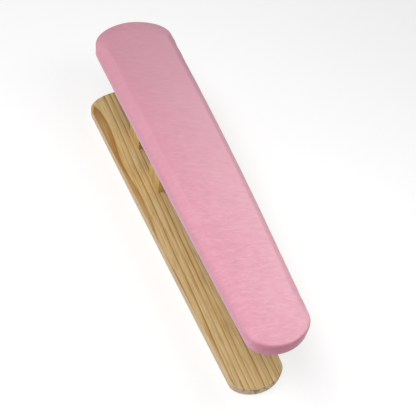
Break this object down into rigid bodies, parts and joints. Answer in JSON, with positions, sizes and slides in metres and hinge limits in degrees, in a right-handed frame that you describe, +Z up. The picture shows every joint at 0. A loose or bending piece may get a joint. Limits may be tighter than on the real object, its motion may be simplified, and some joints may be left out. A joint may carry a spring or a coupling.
{
  "type": "padded sleeve board",
  "caption": "Long fabric-covered padded board held above a matching wooden base by two posts near one end, its other end free for a sleeve or forearm to pass round.",
  "frame": {"origin": "on the underside of the base, at the middle of its length and width", "axes": "+Z up, +X along the board towards its free end, +Y across it to the left of someone facing +X"},
  "size_m": [0.5724, 0.1286, 0.1598],
  "materials": {
    "base_wood": "satin, open lengthwise grain",
    "post_wood": "satin, upright grain",
    "board_wood": "sawn, unvarnished",
    "foam": "matt open foam",
    "pink_fabric": "matt fine-napped cloth",
    "steel": "zinc plated"
  },
  "bodies": {
    "root": {"base_board": "base_wood", "base_screw_01": "steel", "base_screw_02": "steel", "base_screw_03": "steel", "base_screw_04": "steel", "fabric_cover": "pink_fabric", "foam_pad": "foam", "front_post": "post_wood", "hem_staple_01": "steel", "hem_staple_02": "steel", "hem_staple_03": "steel", "hem_staple_04": "steel", "hem_staple_05": "steel", "hem_staple_06": "steel", "hem_staple_07": "steel", "hem_staple_08": "steel", "hem_staple_09": "steel", "hem_staple_10": "steel", "hem_staple_11": "steel", "hem_staple_12": "steel", "hem_staple_13": "steel", "hem_staple_14": "steel", "hem_staple_15": "steel", "hem_staple_16": "steel", "hem_staple_17": "steel", "hem_staple_18": "steel", "hem_staple_19": "steel", "hem_staple_20": "steel", "hem_staple_21": "steel", "hem_staple_22": "steel", "hem_staple_23": "steel", "hem_staple_24": "steel", "hem_staple_25": "steel", "hem_staple_26": "steel", "hem_staple_27": "steel", "hem_staple_28": "steel", "hem_staple_29": "steel", "hem_staple_30": "steel", "rear_post": "post_wood", "top_board": "board_wood", "top_screw_01": "steel", "top_screw_02": "steel", "top_screw_03": "steel", "top_screw_04": "steel"}
  },
  "joints": []
}
